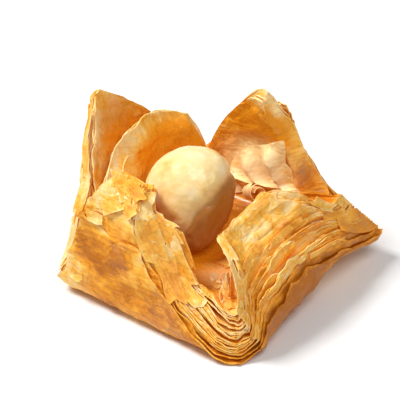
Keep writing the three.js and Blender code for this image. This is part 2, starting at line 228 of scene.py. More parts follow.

# %% [markdown]
# ## The hazelnut
# A peeled hazelnut is an egg shape with a flat round end, a pointed end, a shallow furrow and
# faint lengthwise ribs. It starts as a UV sphere with its poles at the two ends. The sphere is
# stretched and tapered in code rather than with a Simple Deform modifier, because the same step
# also presses in the furrow and the small dents, and marks where brown painted shade goes: the
# side beyond the furrow and the pointed tip. The pointed end then turns down past the front of
# the nest.


# %% Random bumps, and the points of a mesh
def lattice_noise(points, size, seed):
    """Smooth random values from -1 to 1, with bumps about `size` across."""
    cell = points / size
    low = np.floor(cell).astype(np.int64)
    part = ease(cell - low)

    def value(corner):
        key = corner @ np.array([73856093, 19349663, 83492791][:corner.shape[-1]]) + seed * 7919
        key = (key ^ (key >> 13)) * 1274126177 & 0x7FFFFFFF
        key = (key ^ (key >> 15)) * 668265263 & 0x7FFFFFFF
        return (key % 65536) / 32767.5 - 1

    total = 0
    for number in range(2 ** points.shape[-1]):
        corner = np.array([number >> axis & 1 for axis in range(points.shape[-1])])
        weight = np.prod(np.where(corner, part, 1 - part), axis=-1)
        total = total + weight * value(low + corner)
    return total


def rough_noise(points, size, seed, octaves=3):
    """Noise with finer noise on it, each finer step half as strong."""
    return sum(
        lattice_noise(points, size / 2 ** n, seed + n) / 2 ** n for n in range(octaves)
    )


def points_of(mesh):
    """All points of a mesh, one in each row."""
    co = np.empty(3 * len(mesh.vertices))
    mesh.vertices.foreach_get("co", co)
    return co.reshape(-1, 3)


def move_points(mesh, co):
    """Puts the points of a mesh at the given places."""
    mesh.vertices.foreach_set("co", np.asarray(co, float).ravel())
    mesh.update()


print("one random bump:", round(float(rough_noise(np.array([[0.3, 0.6, 0.9]]), 1, 1)[0]), 3))

# %% The nut's size and place, in millimetres
NUT_RADIUS, NUT_LENGTH = 7.0, 15.6
NUT_AT = Vector((-3.6, -0.4, 12.7))
NUT_TAPER = 0.24  # how much narrower the pointed end is than the round one
NUT_BEARING, NUT_PITCH = math.radians(-52), math.radians(-42)
FURROW_DEPTH, FURROW_WIDTH = 0.55, 0.12
RIB_HEIGHT, RIBS = 0.06, 9
DENTS = [(0.23, 0.7, 3), (0.13, 0.3, 31), (0.04, 0.12, 11)]  # depth, size on the ball, seed
SUNK, ENDS_SUNK = 0.12, 0.1  # the nut shrinks so much that its dents stay within its size
# Painted shade: brown beyond the furrow, on the side away from the key lamp, and at the tip.
SHADE_SIDE = Vector((0.8, 0.06, -0.6)).normalized()
SHADE_FROM, SHADE_BLUR, SHADE_RAGGED = 0.2, 0.14, 0.12
TIP_DARK, TIP_FROM, TIP_BLUR, TIP_RAGGED = 0.6, 0.3, 0.55, 0.2
narrow_end = Vector((
    math.cos(NUT_PITCH) * math.cos(NUT_BEARING),
    math.cos(NUT_PITCH) * math.sin(NUT_BEARING),
    math.sin(NUT_PITCH),
))
nut_turn = Vector((0, -1, 0)).rotation_difference(narrow_end).to_matrix()
print("the pointed end looks towards", [round(c, 2) for c in narrow_end])

# %% Shape the nut
bpy.ops.object.select_all(action="DESELECT")
bpy.ops.mesh.primitive_uv_sphere_add(segments=112, ring_count=72, radius=1)
nut = bpy.context.object
nut.name = nut.data.name = "hazelnut_kernel"
nut.rotation_euler = (math.radians(90), 0, 0)
bpy.ops.object.transform_apply(rotation=True)
ball = points_of(nut.data)
lengthwise = ball[:, 1]
around = np.arctan2(ball[:, 2], ball[:, 0])
facing = ball @ np.array(nut_turn).T @ np.array(SHADE_SIDE)
facing = facing + SHADE_RAGGED * rough_noise(ball, 0.8, 5)
furrow = np.exp(-(((facing - SHADE_FROM) / FURROW_WIDTH) ** 2))
ribs = RIB_HEIGHT * (1 - lengthwise ** 2)
ribs = ribs * np.sin(RIBS * around + 2 * lengthwise + 1.3 * np.sin(3 * around))
dents = sum(deep * rough_noise(ball, size, seed) for deep, size, seed in DENTS)
radius = NUT_RADIUS * (1 + NUT_TAPER * (lengthwise - 0.3)) - FURROW_DEPTH * furrow
radius = radius + ribs + dents - SUNK
half_length = NUT_LENGTH / 2 + dents - ENDS_SUNK
egg = np.stack([ball[:, 0] * radius, lengthwise * half_length, ball[:, 2] * radius], -1)
move_points(nut.data, (egg @ np.array(nut_turn).T + np.array(NUT_AT)) * MM)
# The nut's painted shade is stored on its points for the material.
nut_shade = nut.data.attributes.new("nut_shade", "FLOAT", "POINT")
tip = (-lengthwise - TIP_FROM + TIP_RAGGED * rough_noise(ball, 0.5, 41)) / TIP_BLUR
shade_on_side = ease((facing - SHADE_FROM) / SHADE_BLUR + 0.5)
nut_shade.data.foreach_set("value", np.maximum(shade_on_side, TIP_DARK * ease(tip)))
bpy.ops.object.shade_smooth()
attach(nut, "root")
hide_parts("hazelnut")
print("nut points:", len(ball))

# %% [markdown]
# ## Keeping dough off the nut
# The dough was folded up round the nut, so it touches the nut and never runs through it. A
# Shrinkwrap modifier would draw whole sheets onto the nut. Here only the points that would lie
# inside the egg are scaled outwards from its middle, and the rest of a sheet stays as folded.


# %% Push points out of the nut
def clear_of_nut(points, gap):
    """Moves points that would lie in the nut out to its surface and `gap` further, in mm."""
    turn = np.array(nut_turn)
    centre = np.array(NUT_AT)
    local = (points - centre) @ turn
    half = NUT_LENGTH / 2
    for _ in range(4):
        height = np.clip(local[:, 1] / half, -1, 1)
        radius = NUT_RADIUS * (1 + NUT_TAPER * (height - 0.3))
        share = np.sqrt(
            (local[:, 0] / radius) ** 2 + (local[:, 2] / radius) ** 2 + (local[:, 1] / half) ** 2
        )
        wanted = 1 + gap / NUT_RADIUS
        local = local * np.where(share < wanted, wanted / np.maximum(share, 1e-3), 1)[:, None]
    return local @ turn.T + centre


print("a point in the nut moves to", clear_of_nut(np.array([[-2.0, 0.0, 15.0]]), 0.1).round(1))


# %% [markdown]
# ## The flat sheet
# All the sheets are cut from one pattern: a square grid whose corner blocks are cut away leaves a
# middle and four arms. The arms' sides are the cut edges that meet in chevrons at the corners of
# the finished piece. The grid is a primitive, and its points then move to the outline of their
# sheet, fold and settle. Lines lie closer together near the corners, where the cut edges show.
# Real edges are torn by the knife, and no two sheets end in line. So each sheet has its own ragged
# outline, and stands back from the cut by its own small step.

# %% The pattern
BASE_LINES = [-1, -0.93, -0.86, -0.68, -0.46, -0.23, 0, 0.23, 0.46, 0.68, 0.86, 0.93, 1]
ACROSS = 46  # cells across the middle
UP = 44  # cells up each arm
every = np.linspace(0, len(BASE_LINES) - 1, ACROSS + 1)
line = np.interp(every, np.arange(len(BASE_LINES)), BASE_LINES)
cells = ACROSS + 2 * UP

bpy.ops.object.select_all(action="DESELECT")
bpy.ops.mesh.primitive_grid_add(x_subdivisions=cells, y_subdivisions=cells, size=cells)
pattern = bpy.context.object
pattern.name = "filo_pattern"
bpy.ops.object.mode_set(mode="EDIT")
bpy.ops.mesh.select_all(action="DESELECT")
bpy.ops.object.mode_set(mode="OBJECT")
for face in pattern.data.polygons:
    face.select = min(abs(face.center.x), abs(face.center.y)) > ACROSS / 2
bpy.ops.object.mode_set(mode="EDIT")
bpy.ops.mesh.delete(type="FACE")
bpy.ops.object.mode_set(mode="OBJECT")
grid = np.rint(points_of(pattern.data)[:, :2] + cells / 2).astype(int) - UP
print("pattern:", len(grid), "points,", len(pattern.data.polygons), "faces")
# %% Ends and cut edges of a sheet, in millimetres
SIDES = [
    ("front", "leftFront", "rightFront", (0, -1), (1, 0)),
    ("right", "rightFront", "rightBack", (1, 0), (0, 1)),
    ("back", "rightBack", "leftBack", (0, 1), (-1, 0)),
    ("left", "leftBack", "leftFront", (-1, 0), (0, -1)),
]
SHEETS = 19
EDGE_RAGGED = 0.7  # how far a tear goes in
END_TEARS, SIDE_TEARS = 2.6, 1.8  # how far apart tears are at the tips and at the cut edges
BROKEN_TEAR, BROKEN_WAVE, BROKEN_WAVES = 0.9, 0.5, 7  # the same for ends that broke off
SHEET_STEP = 0.5  # how far a sheet may stand back from the one beside it
ROLLED_FROM = 0.93  # the two innermost sheets lie deeper than this, and their rims roll in
RIM_RAGGED = (0.1, 0.3)
TUCKED = {"left": (1.3, 1.3), "back": (1.1, 0)}  # how far other sheets stand back from those
FAR_FROM_EDGES = 9.0
rng = np.random.default_rng(5)


def sheet_end(flap, depth, aside, seed):
    """How far from the middle a sheet ends on a flap, with the ragged line of its edge."""
    along = np.stack([aside, 0 * aside], -1)
    torn = 0.5 + 0.5 * np.clip(rough_noise(along, END_TEARS, seed), -1, 1)
    for up_to, end, tilt, bow in flap["ends"]:
        if depth < up_to:
            edge = FOLD_OUT + end + tilt * aside + bow * (aside / 10) ** 2
            if depth > ROLLED_FROM:
                return edge
            wave = BROKEN_WAVE * rough_noise(along, BROKEN_WAVES, seed + 5)
            return edge + wave - BROKEN_TEAR * torn
    return flap["tip"] - EDGE_RAGGED * torn + 0 * aside


def cut_line(flap, corner, side, distance, depth):
    """How far aside of a flap's middle line its cut edge runs at that distance."""
    way = np.clip((distance - corner) / (flap["tip"] - corner), 0, 1)
    dip = flap["sag"][side] + flap["slant"][side] * (1 - depth)
    return mix(corner, flap["tip_half"], way) - 4 * dip * way * (1 - way)


start_of_cut = cut_line(FLAPS["front"], CORNERS["leftFront"], 0, CORNERS["leftFront"], 0.5)
print("the front flap's cut edge starts", start_of_cut, "mm aside")


# %% Lay a sheet out flat
def lay_out(depth, seed):
    """Flat places in mm of all points of the pattern, and how far each is from a cut edge."""
    flat = np.zeros((len(grid), 2))
    margin = np.full(len(grid), FAR_FROM_EDGES)
    i, j = grid[:, 0], grid[:, 1]
    a = (1 + line[np.clip(i, 0, ACROSS)]) / 2
    b = (1 + line[np.clip(j, 0, ACROSS)]) / 2
    leftmost = -mix(CORNERS["leftFront"], CORNERS["leftBack"], b)
    rightmost = mix(CORNERS["rightFront"], CORNERS["rightBack"], b)
    nearest = -mix(CORNERS["leftFront"], CORNERS["rightFront"], a)
    furthest = mix(CORNERS["leftBack"], CORNERS["rightBack"], a)
    flat[:, 0] = mix(leftmost, rightmost, a)
    flat[:, 1] = mix(nearest, furthest, b)
    steps = [(i, -j), (j, i - ACROSS), (ACROSS - i, j - ACROSS), (ACROSS - j, -i)]
    for number, (name, first, last, out, along) in enumerate(SIDES):
        flap = FLAPS[name]
        column, row = steps[number]
        here = row > 0
        u, v = column[here], row[here] / UP
        t = (1 + line[u]) / 2
        before, after = CORNERS[first], CORNERS[last]
        near = mix(before, after, t)
        full = flap["tip"] - min(before, after)

        def half(side, distance):
            corner = (before, after)[side]
            way = np.clip((distance - corner) / (flap["tip"] - corner), 0, 1)
            cut = cut_line(flap, corner, side, distance, depth)
            place = np.stack([distance, 0 * distance], -1)
            tears = seed + 20 + 10 * number + 5 * side
            torn = 0.5 + 0.5 * rough_noise(place, SIDE_TEARS, tears)
            step = SHEET_STEP * (math.sin(seed * 1.7 + number + 2 * side) * 0.5 + 0.5)
            tucked = TUCKED.get(name, (0, 0))[side] * (flap["split"] < depth < ROLLED_FROM)
            stand_back = EDGE_RAGGED * np.clip(torn, 0, 1.2) + step + tucked
            if name in TUCKED and depth > ROLLED_FROM:
                stand_back = RIM_RAGGED[0] + RIM_RAGGED[1] * torn
            stand_back = stand_back * ease(6 * way + 0.35)
            return np.maximum(cut - stand_back, cut / 2)

        def aside_at(distance):
            share = mix(t, u / ACROSS, np.clip((distance - near) / full, 0, 1))
            return mix(-half(0, distance), half(1, distance), share)

        end = sheet_end(flap, depth, aside_at(flap["tip"] + 0 * t), seed + number)
        end = np.maximum(sheet_end(flap, depth, aside_at(end), seed + number), near + 1)
        distance = mix(near, np.minimum(end, flap["tip"]), v)
        aside = aside_at(distance)
        flat[here] = np.outer(distance, out) + np.outer(aside, along)
        to_side = np.minimum(aside + half(0, distance), half(1, distance) - aside)
        margin[here] = np.minimum(to_side, end - distance)
    return flat, margin


flat, margin = lay_out(0.5, 0)
print("a flat sheet in mm, from", flat.min(axis=0).round(1), "to", flat.max(axis=0).round(1))

# %% [markdown]
# ## Where the sheets are brown, pale or amber, and where light and shade are painted
# Thin tips and faces that stand up to the heat go brown. Sheltered folds stay pale. Hollows where
# syrup has run together turn a clear amber, which is also painted glow for the light that comes
# through thin dough. Syrup that stands on the dough makes it glossy and see-through, and a pale
# painted sheen goes with it. A few patches are only painted shade and light: shade on the right
# flap's outer face, the nut's shadow on the nest's floor, and light on the right flap's back
# corner. A painted image could carry all this, but it would be one more file and blur close up.
# So each such place is a soft patch on the flat sheet, kept to the sheets that show there, and is
# stored on the points for the material to read.

# %% Patches of colour
# Each patch is (x, y, half its width, half its height, strength, lowest depth, highest depth).
PATCHES = {
    "brown": [
        (-6, -25, 5, 4, 0.75, 0, 0.1), (-2, -20, 7, 3, 0.7, 0, 0.1),
        (-8, -18, 4, 3, 0.4, 0, 0.1), (7, -19, 5, 3, 0.45, 0, 0.15),
        # (19, -1) is painted shade on the right flap's outer face, which faces away from the key
        # lamp.
        (19, -1, 5, 11, 1.15, 0, 0.12), (17, -12, 5, 4, 0.7, 0, 0.12),
        (12.5, 19.5, 3.8, 3.4, 1.3, 0.9, 1), (6, 32, 4, 4, 0.35, 0, 1),
        (11, 25, 5, 5, 0.4, 0.9, 1), (24, 8, 5, 4, 0.3, 0, 0.3),
        (27, -5, 3, 3, 0.2, 0.2, 0.8), (-17, 12, 7, 7, 0.5, 0, 0.3),
        (21, 14, 5, 4, 0.7, 0, 0.3), (-31, 6, 3, 5, 0.35, 0.93, 1),
        # (9, 3) is the nut's painted shadow on the floor of the nest.
        (4, -7.5, 7, 6, 1.1, 0.93, 1), (9, 3, 6, 8, 0.8, 0.93, 1),
        (4, 10, 7, 5, 0.7, 0.93, 1), (0, 17, 12, 4, 0.5, 0, 0.1),
        (-20, 0, 5, 10, 0.4, 0, 0.1), (0, 28, 9, 6, 0.4, 0, 0.1),
    ],
    "pale": [
        (-3, -34, 7, 3.6, 0.9, 0, 0.4), (-14, -20, 5, 5, 0.95, 0, 0.2),
        (-33, -3, 8, 8, 0.9, 0, 0.75), (30, 1, 4, 6, 0.75, 0.45, 1),
        (0, 37, 6, 1.6, 0.8, 0, 1), (0, 25, 8, 5, 0.9, 0.9, 1),
        (8, -25, 4, 6, 0.5, 0.2, 1), (26, -11, 5, 4, 0.5, 0.5, 1),
        (-33, 5, 3, 4, 0.7, 0.6, 0.93), (13, -15, 4, 4, 0.35, 0.2, 1),
        # (28, 9) is painted light that brightens the right flap's back corner, which lies in shade.
        (-30, -8, 3, 5, 0.6, 0.6, 1), (28, 9, 6, 5, 0.8, 0.3, 1),
        (-22, 5, 5, 7, 0.6, 0.93, 1), (22, 2, 4, 9, 0.3, 0.12, 0.5),
        (-37, 1, 4, 6, 0.8, 0.3, 0.6), (9, -10, 4, 4, 0.5, 0.9, 1),
        (14.5, -14.5, 6, 6, 0.7, 0.45, 1),
    ],
    # Amber is partly the syrup's colour and partly painted glow, for light that comes through thin
    # dough.
    "amber": [
        (0, 32, 6, 4, 1.2, 0.9, 1), (-30.5, 4, 5, 7, 1.3, 0.93, 1),
        (-34, 2, 5, 5, 0.7, 0.5, 0.7), (-6, 29, 3, 4, 0.6, 0.9, 1),
        (3, -2, 11, 11, 0.7, 0.9, 1), (-18, 6, 8, 8, 0.25, 0.9, 1),
        (27, 12, 3, 3, 0.5, 0.3, 1), (14, 20, 5, 5, 0.6, 0.9, 1),
        (5, 20, 8, 3, 0.3, 0.9, 1),
    ],
    # Syrup stands here: the dough is glossier and smoother, and a pale painted sheen goes with it.
    "wet": [
        (0, 24.5, 8, 5, 0.75, 0.9, 1), (7, -7, 5, 5, 0.4, 0.9, 1),
        (-24, 5, 4, 5, 0.3, 0.9, 1),
    ],
}
PATCH_REACH = 1.35  # how far out a patch fades to nothing, in its own half widths


def patched(kind, flat, depth):
    """How strongly points of a sheet have that colour, from 0 to 1."""
    total = np.zeros(len(flat))
    for x, y, wide, high, strength, lowest, highest in PATCHES[kind]:
        if lowest <= depth <= highest:
            apart = np.hypot((flat[:, 0] - x) / wide, (flat[:, 1] - y) / high)
            total = np.maximum(total, strength * ease(PATCH_REACH - apart))
    return total


print("patches:", {kind: len(rows) for kind, rows in PATCHES.items()})

# %% Storing the colours on the points
MAP_SIZE = 40  # millimetres of dough across the UV map


def paint(mesh, flat, turned=False, **masks):
    """Keeps the flat place of each point as a UV map, and each mask as a point attribute.
    Where `turned` holds, the map is turned a quarter, and the streaks run the other way."""
    flat = np.where(np.broadcast_to(turned, len(flat))[:, None], flat[:, ::-1], flat)
    uv = mesh.uv_layers.active or mesh.uv_layers.new(name="flat")
    uv.name = "flat"
    loops = np.empty(len(mesh.loops), int)
    mesh.loops.foreach_get("vertex_index", loops)
    uv.data.foreach_set("uv", (flat[loops] / MAP_SIZE).ravel())
    for name, values in masks.items():
        mask = mesh.attributes.new(name, "FLOAT", "POINT")
        mask.data.foreach_set("value", values + np.zeros(len(flat)))


# %% Depths of the sheets
GAPS, GAP_ODDS = [0.55, 0.7, 1.0, 1.7], [0.3, 0.25, 0.2, 0.25]
OUTERMOST_DEPTH, DEPTH_RANGE = 0.02, 0.965
gaps = rng.choice(GAPS, size=SHEETS - 1, p=GAP_ODDS)
depths = OUTERMOST_DEPTH + DEPTH_RANGE * np.concatenate([[0], np.cumsum(gaps) / gaps.sum()])
print("sheet depths:", np.round(depths, 2))

# %% [markdown]
# ## Folding and thickening the sheets
# Each sheet gets its own small crinkles on top of the wrinkles that it shares with the sheets next
# to it, and the outermost ones blister most. Near a cut edge the sheets have crisped apart, so the
# crinkles grow there. On the right flap they are drawn into long pleats. The rims of the two
# innermost sheets have curled into the nest. A displacement texture could crinkle a sheet, but
# moving its points in code lets neighbours share a wrinkle. A Solidify modifier then gives the
# dough its thickness, and the sheets are joined a few at a time into packets.

# %% Heights of crinkles and rims, in millimetres
# Each pair is a height and how far it is across one bump.
SHARED, OWN, CRUMPLED, BLISTERED = (0.17, 3.4), (0.07, 2.2), (0.1, 2.4), (0.16, 1.9)
FLARED, FLARED_TOGETHER, FLARE_WIDTH = (0.2, 2.8), (0.2, 3), 3.5
PLEATS, PLEAT_WIDTH, PLEAT_STRETCH = 0.2, 1.8, 5
BLISTERED_TO = 0.12  # the depth of the last blistered sheet
RIM_ROLL, RIM_ROLL_WIDTH = 1.9, 2.7
BACK_ROLL, BACK_ROLL_WIDTH = 2.2, 2.4
# How far out on the sheet an effect starts, and over what length it grows.
ON_FLAP, ON_RIGHT, ON_LEFT, ON_BACK = (12, 5), (17, 3), (19, 4), (20, 4)


def crinkled(flat, margin, depth, number):
    """How far points stand off their sheet, and painted light and shade from -1 to 1."""
    furthest = np.maximum(np.abs(flat[:, 0]), np.abs(flat[:, 1]))
    on_flap = ease((furthest - ON_FLAP[0]) / ON_FLAP[1])
    on_right = ease((flat[:, 0] - ON_RIGHT[0]) / ON_RIGHT[1])
    shared = SHARED[0] * rough_noise(flat, SHARED[1], 7)
    own = OWN[0] * rough_noise(flat, OWN[1], 900 + number)
    flared = FLARED[0] * rough_noise(flat, FLARED[1], 400 + number)
    together = FLARED_TOGETHER[0] * rough_noise(flat, FLARED_TOGETHER[1], 50 + number // 3)
    flared = (flared + together) * (1 - 0.5 * on_right)
    ridges = 1 - 2 * np.abs(rough_noise(flat, CRUMPLED[1], 60 + number // 4, 2))
    crumple = CRUMPLED[0] * ridges
    drawn = np.stack([flat[:, 0] + 0.1 * flat[:, 1], flat[:, 1] / PLEAT_STRETCH], -1)
    pleats = 1 - 2.4 * np.abs(rough_noise(drawn, PLEAT_WIDTH, 77 + number // 3, 2))
    pleats = PLEATS * pleats * on_right
    blisters = BLISTERED[0] * np.abs(rough_noise(flat, BLISTERED[1], 640 + number, 2))
    blisters = blisters * (depth < BLISTERED_TO)
    lift = (shared + own + crumple + blisters) * on_flap + pleats
    lift = lift + flared * ease(1 - margin / FLARE_WIDTH)
    # Painted light and shade: crests of crinkles and pleats count high and are painted paler,
    # hollows darker.
    raised = np.clip((crumple - 0.05 + 0.5 * own + 0.8 * pleats) / 0.16, -1, 1) * on_flap
    return lift, raised


def rolled(flat, margin):
    """How far the rims of the left and back flaps roll in, and where the rims are."""
    on_left = ease((-flat[:, 0] - ON_LEFT[0]) / ON_LEFT[1])
    on_back = ease((flat[:, 1] - ON_BACK[0]) / ON_BACK[1]) * ease((flat[:, 0] + 3) / 3)
    left_roll = RIM_ROLL * on_left * ease(1 - margin / RIM_ROLL_WIDTH)
    back_roll = BACK_ROLL * on_back * ease(1 - margin / BACK_ROLL_WIDTH)
    back_rim = 0.7 * on_back * ease(1.3 - margin / 1.4)
    return left_roll, back_roll, np.maximum(on_left * ease(1.5 - margin / 1.5), back_rim)


print("crinkles up to about", SHARED[0] + OWN[0] + CRUMPLED[0] + FLARED[0], "mm on a flap")

# %% Make the sheets
SHEET_THICKNESS = 0.18
LOWEST_SHEET = 0.08  # the height of the lowest sheet's middle over the surface
NUT_GAP, NUT_GAP_OUTER = 0.12, 0.5
MAP_SHIFT = 3.7  # between the maps of two sheets, so that no two have the same streaks
EDGE_WIDTH = 0.5
PACKETS = 5
packets = [[] for _ in range(PACKETS)]
for number, depth in enumerate(depths):
    sheet = pattern.copy()
    sheet.data = pattern.data.copy()
    bpy.context.scene.collection.objects.link(sheet)
    flat, margin = lay_out(depth, 100 * number)
    lift, raised = crinkled(flat, margin, depth, number)
    rim = 0 * margin
    if depth > ROLLED_FROM:
        left_roll, back_roll, rim = rolled(flat, margin)
        lift = lift - left_roll - back_roll
    place = folded(flat[:, 0], flat[:, 1], np.full(len(flat), depth), lift)
    place = clear_of_nut(place, NUT_GAP + NUT_GAP_OUTER * (1 - depth))
    place[:, 2] = np.maximum(place[:, 2], LOWEST_SHEET)
    move_points(sheet.data, place * MM)
    # Besides the patches, crests of the crinkles are painted paler and hollows darker, as painted
    # light and shade.
    paint(
        sheet.data, flat + number * MAP_SHIFT, flat[:, 0] > FOLD_OUT + 1,
        edge=ease(1 - margin / EDGE_WIDTH), raised=0.5 + 0.5 * raised,
        brown=patched("brown", flat, depth),
        pale=np.maximum(patched("pale", flat, depth), rim),
        amber=patched("amber", flat, depth) * (1 - rim),
        wet=patched("wet", flat, depth),
    )
    packets[number * PACKETS // SHEETS].append(sheet)
print([len(sheets) for sheets in packets], "sheets in the packets")

# %% Thicken the sheets and join them into packets
SMOOTH_BELOW = math.radians(50)

pieces = []
for number, sheets in enumerate(packets):
    bpy.ops.object.select_all(action="DESELECT")
    for sheet in sheets:
        bpy.context.view_layer.objects.active = sheet
        thick = sheet.modifiers.new("thickness", "SOLIDIFY")
        thick.thickness = SHEET_THICKNESS * MM
        thick.offset = 0
        bpy.ops.object.modifier_apply(modifier=thick.name)
        sheet.select_set(True)
    bpy.ops.object.join()
    packet = bpy.context.object
    packet.name = packet.data.name = f"filo_sheets_{number + 1}"
    bpy.ops.object.shade_smooth_by_angle(angle=SMOOTH_BELOW)
    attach(packet, "root")
    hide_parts("filo_pastry")
    pieces.append(packet)
    print(packet.name, len(packet.data.polygons), "faces")
bpy.data.objects.remove(pattern)

# %% [markdown]
# ## Loose flakes
# Baked filo is brittle: its outermost sheets crack, and bits of them curl up or slip over the cut
# edges. A particle system could scatter bits, but they would float or sink in. Here each flake is
# a small grid with a torn outline. It is laid on the flat sheet or along a cut edge and folded by
# the same function as the sheets, so it hugs the surface that it lies on. Broad scraps full of
# syrup lie in soft folds on the back flap with a pale painted sheen, and two strips beside the
# nut have rolled themselves up.

# %% A flake's outline and thickness
FLAKE_THICKNESS = 0.09
LOWEST_FLAKE = 0.06
flakes = []


def torn_grid(steps, seed):
    """A square grid with a torn outline, its points from -1 to 1, and how far out they are."""
    bpy.ops.object.select_all(action="DESELECT")
    bpy.ops.mesh.primitive_grid_add(x_subdivisions=steps, y_subdivisions=steps, size=2)
    flake = bpy.context.object
    uv = points_of(flake.data)[:, :2]
    around = np.arctan2(uv[:, 1], uv[:, 0])[:, None]
    ring = np.concatenate([np.cos(around), np.sin(around)], 1) * 2
    torn = 0.92 + 0.22 * rough_noise(ring, 1.7, seed, 2)
    return flake, uv * torn[:, None], np.abs(uv).max(1)


def finish_flake(flake, flat, place, out, **masks):
    """Puts a flake's points in place, paints it and gives it its thickness."""
    place[:, 2] = np.maximum(place[:, 2], LOWEST_FLAKE)
    move_points(flake.data, place * MM)
    paint(flake.data, flat, edge=ease((out - 0.8) / 0.2), **masks)
    thick = flake.modifiers.new("thickness", "SOLIDIFY")
    thick.thickness = FLAKE_THICKNESS * MM
    thick.offset = 0
    bpy.ops.object.modifier_apply(modifier=thick.name)
    flakes.append(flake)


# %% Flakes on a face, flakes on a cut edge, and curls
FOLD_WIDTH = 4.0  # from fold to fold of a soaked scrap


def flake_on_face(
    centre, depth, size, turn=0, inside=False, curl=0.4, steps=8, seed=0, pleat=0, **masks
):
    """Lays a flake on the outer or inner face of the sheet at that depth."""
    flake, uv, out = torn_grid(steps, seed)
    turn = math.radians(turn)
    along = uv * np.array(size) / 2
    flat = np.stack([
        centre[0] + along[:, 0] * math.cos(turn) - along[:, 1] * math.sin(turn),
        centre[1] + along[:, 0] * math.sin(turn) + along[:, 1] * math.cos(turn),
    ], -1)
    rise = 0.15 + curl * ease((uv[:, 1] + 0.4) / 1.6) ** 2
    rise = rise + 0.1 * rough_noise(flat, 1.3, seed + 3)
    if pleat:
        within = ease((1 - out) / 0.4)
        folds = pleat * (1 + np.cos(2 * np.pi * along[:, 0] / FOLD_WIDTH + along[:, 1] / 4))
        rise = 0.1 + within * (folds + 0.05 * rough_noise(flat, 2.0, seed + 3) + 0.5 * curl)
        masks["wet"] = masks["wet"] * (0.2 + 0.8 * within)
    deep = np.full(len(flat), depth)
    place = folded(flat[:, 0], flat[:, 1], deep, rise if inside else -rise)
    # Where a flake curls up it is painted paler, as painted light.
    finish_flake(flake, flat + seed, place, out, raised=0.5 + 0.8 * (rise - 0.3), **masks)


def flake_on_edge(side, number, distance, depth, size, turn=0, curl=0.3, steps=8, seed=0, **masks):
    """Lays a flake along a flap's cut edge, across the ends of the sheets."""
    flake, uv, out = torn_grid(steps, seed)
    turn = math.radians(turn)
    name, first, last, outwards, sideways = side
    flap = FLAPS[name]
    along = uv * np.array(size) / 2
    away = distance + along[:, 0] * math.cos(turn) - along[:, 1] * math.sin(turn)
    across = along[:, 0] * math.sin(turn) + along[:, 1] * math.cos(turn)
    deep = np.clip(depth + across / (0.7 * STACK_HEIGHT), -0.05, 1.05)
    rise = curl * ease((uv[:, 1] + 0.6) / 1.6) ** 2 + 0.25 * rough_noise(along, 1.4, seed + 3)
    aside = cut_line(flap, CORNERS[(first, last)[number]], number, away, deep) - 0.15 + rise
    aside = aside * (-1, 1)[number]
    flat = np.outer(away, outwards) + np.outer(aside, sideways)
    place = folded(flat[:, 0], flat[:, 1], deep)
    paint_at = np.stack([away, deep * STACK_HEIGHT], -1)
    # Where a flake curls up it is painted paler, as painted light.
    finish_flake(flake, paint_at + seed, place, out, raised=0.5 + 0.8 * (rise - 0.1), **masks)


def curl_of_dough(centre, radius, length, towards, turns=1.4, seed=0, **masks):
    """A strip of dough that rolled itself up, with its axis in the direction `towards`."""
    flake, uv, out = torn_grid(18, seed)
    axis = Vector(towards).normalized()
    first = axis.orthogonal().normalized()
    second = axis.cross(first)
    angle = (uv[:, 0] + 1) * math.pi * turns
    reach = radius * (1 - 0.24 * (uv[:, 0] + 1)) + 0.08 * rough_noise(uv, 0.5, seed)
    place = np.array(centre) + np.outer(uv[:, 1] * length / 2, axis)
    place = place + np.outer(reach * np.cos(angle), first)
    place = place + np.outer(reach * np.sin(angle), second)
    finish_flake(flake, uv * length + seed, place, out, raised=0.5, **masks)


# %% [markdown]
# ### Where the flakes lie
# Flakes lie across the cut edges, where the sheets' brittle ends broke, along the steps of the
# right flap, and in the nest, where some of them stand up. Those near the front flap's tip lie on
# the first sheet under its broken edge, so that none of them floats. Chance alone would put flakes
# where none could stay, so only the crumbs at the bottom of the nest are strewn by it.

# %% Tints of the flakes
front, right, _, left = SIDES
LEDGE = min(depth for depth in depths if depth > FLAPS["front"]["ends"][0][0])
pale = dict(pale=0.5, brown=0.0, amber=0.0, wet=0.0)
gold = dict(pale=0.1, brown=0.15, amber=0.2, wet=0.1)
burnt = dict(pale=0.0, brown=0.5, amber=0.3, wet=0.1)
# The next two tints also carry a pale painted sheen with the syrup's gloss.
glassy = dict(pale=0.8, brown=0.0, amber=0.0, wet=0.6)
wetted = dict(pale=1.0, brown=0.0, amber=0.0, wet=0.75)
print("the front flap's flakes lie at depth", round(float(LEDGE), 3))

